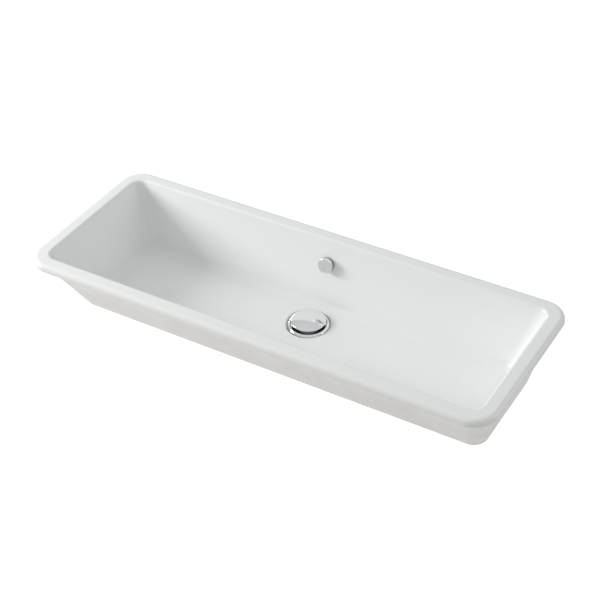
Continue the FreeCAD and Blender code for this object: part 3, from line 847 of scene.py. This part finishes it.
# Waste and plug
class WASHBASIN_OT_waste(bpy.types.Operator):
    """Model the chromed waste with its crowned flange, dish, bridge and threaded tail"""
    bl_idname = "washbasin.waste"
    bl_label = "Waste body"
    bl_options = {"REGISTER", "UNDO"}

    def execute(self, context):
        sizes = context.scene.fitting_sizes
        rim, tail, bore = sizes.flange_radius, sizes.tail_radius, sizes.bore_radius
        top, end = waste_high.z, waste_low.z
        seat, dish = top - sizes.flange_height, top - sizes.dish_depth
        ring_in, root = rim - sizes.ring_width, tail - sizes.thread_depth
        runout_low, runout_high = bridge_low, bridge_low + 1.5 * mm
        bevel, fine, corner = 0.6 * mm, 0.5 * mm, 0.7 * mm
        rows = [(bore, end + bevel), (bore + bevel, end), (root - bevel, end), (root, end + mm)]
        rows += [(root, runout_low), (tail, runout_high), (tail, seat), (rim - 0.2 * mm, seat)]
        rows += arc(rim - fine, seat + bevel, fine, -20, 40, 3)
        for share_in in (0.12, 0.25, 0.4, 0.55, 0.7):
            rows.append((rim - share_in * sizes.ring_width, top - sizes.ring_fall * (1 - share_in) ** 2))
        rows += arc(ring_in + fine, top - fine, fine, 90, 180, 4)
        rows += arc(ring_in - 2 * corner, dish + corner, corner, 0, -90, 4)
        # The dish runs into the bore in a curve
        for past_bore, below_dish in ((3.4, 0), (2.4, 0.15), (1.2, 0.8), (0.3, 1.9), (0, 3.4)):
            rows.append((bore + past_bore * mm, dish - below_dish * mm))
        body = turned("chrome_waste", rows, waste_axis, steps=128)
        past_tail, slot_top = tail + 4 * mm, top - sizes.slot_drop
        slots = block("slots", (-sizes.slot_half, waste_y - past_tail, slot_top - sizes.slot_height),
                      (sizes.slot_half, waste_y + past_tail, slot_top))
        combine(body, slots, "DIFFERENCE")
        join(body, self.bridge(sizes))
        smooth(body, 35.0)
        hand_over(body, "basin", "polished_chrome", "waste_body")
        ridge = self.thread(sizes, end + 1.2 * mm, runout_low - bevel)
        hand_over(ridge, "basin", "polished_chrome")
        return {"FINISHED"}

    def bridge(self, sizes):
        """Hub that holds the cartridge, and its three arms to the bore of the tail."""
        hole, radius, bevel = sizes.stud_hole, sizes.hub_radius, 0.4 * mm
        hub = turned("hub", [
            (hole, bridge_low), (radius - bevel, bridge_low), (radius, bridge_low + bevel),
            (radius, bridge_high - bevel), (radius - bevel, bridge_high), (hole, bridge_high),
        ], waste_axis, steps=48)
        half, set_back, edge_round = 1.5 * mm, 0.1 * mm, 0.5 * mm
        arm = block("arm", (-half, waste_y + radius - mm, bridge_low + set_back),
                    (half, waste_y + sizes.bore_radius + 0.6 * mm, bridge_high - set_back), edge_round)
        return [hub] + repeated(arm, 3, waste_axis)

    def thread(self, sizes, low, high):
        """Thread on the tail: a pointed ridge wound up by the screw modifier."""
        everything_off()
        bpy.ops.mesh.primitive_plane_add(size=1)
        ridge = place_in_mesh("tail_thread")
        open_mesh(ridge, "VERT")
        pitch, crest = sizes.thread_pitch, sizes.tail_radius
        foot = crest - sizes.thread_depth - 0.3 * mm
        for x, y, reach, share_up in (
            (-0.5, -0.5, foot, 0.04),
            (-0.5, 0.5, foot, 0.96),
            (0.5, 0.5, crest, 0.58),
            (0.5, -0.5, crest, 0.42),
        ):
            pick(ridge, "VERT", lambda vert: (vert.co - Vector((x, y, 0))).length < mm)
            move(reach - x, -y, low + share_up * pitch)
        close_mesh()
        turns = int((high - low) / pitch)
        wind(ridge, steps=64, rise=pitch, turns=turns - 1, sides=4)
        smooth(ridge, 30.0, False)
        return ridge


class WASHBASIN_OT_plug(bpy.types.Operator):
    """Model the domed plug with its rolled edge and boss"""
    bl_idname = "washbasin.plug"
    bl_label = "Plug"
    bl_options = {"REGISTER", "UNDO"}

    def execute(self, context):
        sizes = context.scene.fitting_sizes
        top, foot = plug_high.z, plug_low.z
        radius, boss, edge = sizes.plug_radius, sizes.plug_boss, sizes.plug_edge / 2
        under = foot + sizes.boss_height
        rise = top - under - sizes.plug_edge
        dome_edge, bevel, dome_steps = radius - 0.35 * mm, 0.4 * mm, 15
        dome = (dome_edge ** 2 + rise ** 2) / (2 * rise)
        rows = [(0, foot), (boss - bevel, foot), (boss, foot + bevel), (boss, under)]
        rows.append((radius - 1.6 * mm, under))
        rows += arc(radius - edge, under + edge, edge, -80, 55, 8)
        reach = math.asin((radius - 1.4 * mm) / dome)
        for step in range(dome_steps):
            angle = reach * (1 - step / dome_steps)
            rows.append((dome * math.sin(angle), top - dome + dome * math.cos(angle)))
        rows.append((0, top))
        plug = turned("chrome_plug", rows, waste_axis, steps=128)
        smooth(plug, 50.0)
        hand_over(plug, "plug", "polished_chrome", "plug_cap")
        return {"FINISHED"}


class WASHBASIN_OT_spring(bpy.types.Operator):
    """Model the return spring, which shortens as the plug goes down"""
    bl_idname = "washbasin.spring"
    bl_label = "Return spring"
    bl_options = {"REGISTER", "UNDO"}

    def execute(self, context):
        sizes = context.scene.fitting_sizes
        wire, sides = sizes.spring_wire / 2, 12
        height = spring_high.z - spring_low.z
        everything_off()
        bpy.ops.mesh.primitive_circle_add(
            vertices=sides, radius=wire, fill_type="NOTHING", rotation=(math.radians(90), 0, 0),
            location=(spring_high.x - wire, 0, spring_low.z + wire),
        )
        spring = place_in_mesh("steel_spring")
        rise = (height - 2 * wire) / sizes.spring_turns
        wind(spring, steps=32, rise=rise, turns=sizes.spring_turns, sides=sides)
        smooth(spring, 50.0, False)
        hand_over(spring, "basin", "spring_steel", "return_spring")
        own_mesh(spring)
        return {"FINISHED"}


class WASHBASIN_OT_nuts(bpy.types.Operator):
    """Model the chamfered backnut and locknut"""
    bl_idname = "washbasin.nuts"
    bl_label = "Nuts"
    bl_options = {"REGISTER", "UNDO"}

    def nut(self, name, low, high, bore, chamfer):
        corner, tilt = high.x, math.radians(30)
        everything_off()
        bpy.ops.mesh.primitive_cylinder_add(
            vertices=6, radius=corner, depth=high.z - low.z,
            location=(0, waste_y, (low.z + high.z) / 2), rotation=(0, 0, tilt),
        )
        piece = place_in_mesh(name)
        inner, outer = corner * math.cos(tilt) - chamfer / 2, corner + 0.2 * mm
        slope, wide = (outer - inner) * math.tan(tilt), bore + chamfer + mm
        lens = turned("lens", [
            (0, low.z), (inner, low.z), (outer, low.z + slope),
            (outer, high.z - slope), (inner, high.z), (0, high.z),
        ], waste_axis)
        combine(piece, lens, "INTERSECT")
        drill = turned("drill", [
            (0, low.z - mm), (wide, low.z - mm), (bore, low.z + chamfer),
            (bore, high.z - chamfer), (wide, high.z + mm), (0, high.z + mm),
        ], waste_axis)
        combine(piece, drill, "DIFFERENCE")
        weld(piece)
        smooth(piece, 28.0)
        return piece

    def execute(self, context):
        sizes = context.scene.fitting_sizes
        tail_hole, chamfer = sizes.tail_radius + 0.05 * mm, sizes.nut_chamfer
        backnut = self.nut("brass_backnut", backnut_low, backnut_high, tail_hole, chamfer)
        hand_over(backnut, "basin", "raw_brass", "backnut")
        locknut = self.nut("brass_locknut", locknut_low, locknut_high, sizes.stud_hole, chamfer / 3)
        hand_over(locknut, "basin", "raw_brass", "height_locknut")
        return {"FINISHED"}


class WASHBASIN_OT_overflow_cap(bpy.types.Operator):
    """Model the round overflow cap with its stem and fins"""
    bl_idname = "washbasin.overflow_cap"
    bl_label = "Overflow cap"
    bl_options = {"REGISTER", "UNDO"}

    def execute(self, context):
        sizes = context.scene.fitting_sizes
        radius, edge, face = sizes.cap_radius, sizes.cap_edge, sizes.cap_stand_off
        back, mouth, bore = face - sizes.cap_face, face - sizes.cap_skirt, radius - sizes.cap_wall
        pin, pin_foot, stem, stem_foot = 1.5 * mm, -2.8 * mm, 3.0 * mm, 2.2 * mm
        bevel, fillet, lip = 0.2 * mm, 0.8 * mm, 0.4 * mm
        rows = [(0, pin_foot), (pin - bevel, pin_foot), (pin, pin_foot + bevel)]
        rows += [(pin, stem_foot), (stem, stem_foot)]
        rows += arc(stem + fillet, back - fillet, fillet, 180, 90, 4)
        rows += arc(bore - fillet, back - fillet, fillet, 90, 0, 4)
        rows += arc(bore + lip, mouth + lip, lip, 180, 270, 3)
        rows += arc(radius - lip, mouth + lip, lip, -90, 0, 3)
        rows += arc(radius - edge, face - edge, edge, 0, 90, 6)
        # The face is very slightly hollow
        for set_back, depth in ((2.4 * mm, 0), (6 * mm, 0.03 * mm), (radius, 0.05 * mm)):
            rows.append((radius - set_back, face - depth))
        cap = turned("chrome_overflow_cap", rows, steps=96)
        outer, fin_half, fin_depth = radius - 0.6 * mm, 0.6 * mm, 1.6 * mm
        fin = block("fin", (outer - fin_depth, -fin_half, stem_foot + bevel),
                    (outer, fin_half, back - bevel), bevel)
        join(cap, repeated(fin, 8))
        put_on_wall(cap, context.scene.china_sizes)
        smooth(cap, 40.0)
        hand_over(cap, "basin", "polished_chrome", "overflow_cap")
        return {"FINISHED"}


class WASHBASIN_OT_inner_finishes(bpy.types.Operator):
    """Give the washers, seals and click cartridge their finishes"""
    bl_idname = "washbasin.inner_finishes"
    bl_label = "Inner finishes"
    bl_options = {"REGISTER", "UNDO"}

    def execute(self, context):
        for node, name in node_finishes.items():
            coat(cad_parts[node], name)
        return {"FINISHED"}


class WASHBASIN_OT_stage(bpy.types.Operator):
    """Set up the pale floor, the soft light and the camera"""
    bl_idname = "washbasin.stage"
    bl_label = "Stage"
    bl_options = {"REGISTER", "UNDO"}

    def execute(self, context):
        stage = context.scene.stage_settings
        everything_off()
        bpy.ops.mesh.primitive_plane_add(size=40, location=(0, 0, -stage.floor_drop))
        floor = place_in_mesh("studio_floor")
        paper = finish("Studio floor", (0.92, 0.92, 0.92), (0.90, 0.90, 0.90), (0.9, 1.0),
                       (0.5, 30.0, 400.0), Emission_Color=(1.0, 1.0, 1.0, 1.0))
        nodes, links = paper.node_tree.nodes, paper.node_tree.links
        sight = nodes.new("ShaderNodeLightPath")
        glow = nodes.new("ShaderNodeMapRange")
        glow.inputs["To Min"].default_value = stage.floor_glow
        glow.inputs["To Max"].default_value = stage.floor_white
        links.new(sight.outputs["Is Camera Ray"], glow.inputs["Value"])
        links.new(glow.outputs["Result"], nodes["Principled BSDF"].inputs["Emission Strength"])
        floor.data.materials.append(paper)
        context.scene.world = self.studio_light(stage)
        self.light("key_light", place=(-2.2, -0.8, 0.88), width=0.9, power=stage.key_power)
        self.light("fill_light", place=(1.9, 1.0, 0.82), width=1.2, power=stage.fill_power)
        context.scene.view_settings.view_transform = "Standard"
        self.camera(context, stage)
        return {"FINISHED"}

    def studio_light(self, stage):
        """Soft light from all sides, with a white background for the camera."""
        world = bpy.data.worlds.new("Studio light")
        world.use_nodes = True
        nodes, links = world.node_tree.nodes, world.node_tree.links
        nodes["Background"].inputs["Color"].default_value = (0.98, 0.987, 0.992, 1.0)
        background_white = 1.05
        direction = nodes.new("ShaderNodeTexCoord")
        height = nodes.new("ShaderNodeSeparateXYZ")
        strength = nodes.new("ShaderNodeMapRange")
        strength.inputs["To Min"].default_value = stage.horizon
        strength.inputs["To Max"].default_value = stage.sky
        sight = nodes.new("ShaderNodeLightPath")
        seen = nodes.new("ShaderNodeMapRange")
        seen.inputs["To Max"].default_value = background_white
        links.new(direction.outputs["Generated"], height.inputs["Vector"])
        links.new(height.outputs["Z"], strength.inputs["Value"])
        links.new(sight.outputs["Is Camera Ray"], seen.inputs["Value"])
        links.new(strength.outputs["Result"], seen.inputs["To Min"])
        links.new(seen.outputs["Result"], nodes["Background"].inputs["Strength"])
        return world

    def light(self, name, place, width, power):
        """Square soft light that faces the washbasin."""
        everything_off()
        turn = (-Vector(place)).to_track_quat("-Z", "Y").to_euler()
        bpy.ops.object.light_add(type="AREA", location=place, rotation=turn)
        lamp = bpy.context.object
        lamp.name = name
        lamp.data.size = width
        lamp.data.energy = power

    def camera(self, context, stage):
        """Camera of the photo, from its turn, its distance and the shift of its aim."""
        yaw, pitch, roll = math.radians(-32.215), math.radians(38.287), math.radians(-2.320)
        distance, shift_right, shift_up = 2.14384, -0.01618, 0.02720
        level = Vector((math.sin(yaw), math.cos(yaw), 0))
        forward = math.cos(pitch) * level - Vector((0, 0, math.sin(pitch)))
        level_right = Vector((math.cos(yaw), -math.sin(yaw), 0))
        level_up = level_right.cross(forward)
        right = math.cos(roll) * level_right + math.sin(roll) * level_up
        up = math.cos(roll) * level_up - math.sin(roll) * level_right
        place = -shift_right * right - shift_up * up - distance * forward
        place.z += basin_high.z
        turn = Matrix((right, up, -forward)).transposed().to_euler()
        everything_off()
        bpy.ops.object.camera_add(location=place, rotation=turn)
        camera = bpy.context.object
        camera.name = "photo_camera"
        camera.data.lens = stage.lens
        camera.data.sensor_width = 36.0
        context.scene.camera = camera


class WASHBASIN_PT_panel(bpy.types.Panel):
    """Sidebar panel with the washbasin's pieces and sizes"""
    bl_idname = "WASHBASIN_PT_panel"
    bl_label = "Washbasin"
    bl_space_type = "VIEW_3D"
    bl_region_type = "UI"
    bl_category = "Washbasin"

    def draw(self, context):
        layout = self.layout
        for operator in operators:
            layout.operator(operator.bl_idname)
        for group in (context.scene.china_sizes, context.scene.fitting_sizes,
                      context.scene.finish_colours, context.scene.stage_settings):
            box = layout.box()
            for name in group.bl_rna.properties.keys():
                if name not in ("rna_type", "name"):
                    box.prop(group, name)


operators = (
    WASHBASIN_OT_china,
    WASHBASIN_OT_waste,
    WASHBASIN_OT_plug,
    WASHBASIN_OT_spring,
    WASHBASIN_OT_nuts,
    WASHBASIN_OT_overflow_cap,
    WASHBASIN_OT_inner_finishes,
    WASHBASIN_OT_stage,
)
property_groups = (
    ("china_sizes", ChinaSizes),
    ("fitting_sizes", FittingSizes),
    ("finish_colours", FinishColours),
    ("stage_settings", StageSettings),
)


def register():
    for name, group in property_groups:
        bpy.utils.register_class(group)
        setattr(bpy.types.Scene, name, bpy.props.PointerProperty(type=group))
    for operator in operators:
        bpy.utils.register_class(operator)
    bpy.utils.register_class(WASHBASIN_PT_panel)


def unregister():
    bpy.utils.unregister_class(WASHBASIN_PT_panel)
    for operator in reversed(operators):
        bpy.utils.unregister_class(operator)
    for name, group in reversed(property_groups):
        delattr(bpy.types.Scene, name)
        bpy.utils.unregister_class(group)


def main():
    register()
    bpy.ops.washbasin.china()
    bpy.ops.washbasin.waste()
    bpy.ops.washbasin.plug()
    bpy.ops.washbasin.spring()
    bpy.ops.washbasin.nuts()
    bpy.ops.washbasin.overflow_cap()
    bpy.ops.washbasin.inner_finishes()
    bpy.ops.washbasin.stage()


if __name__ == "__main__":
    main()
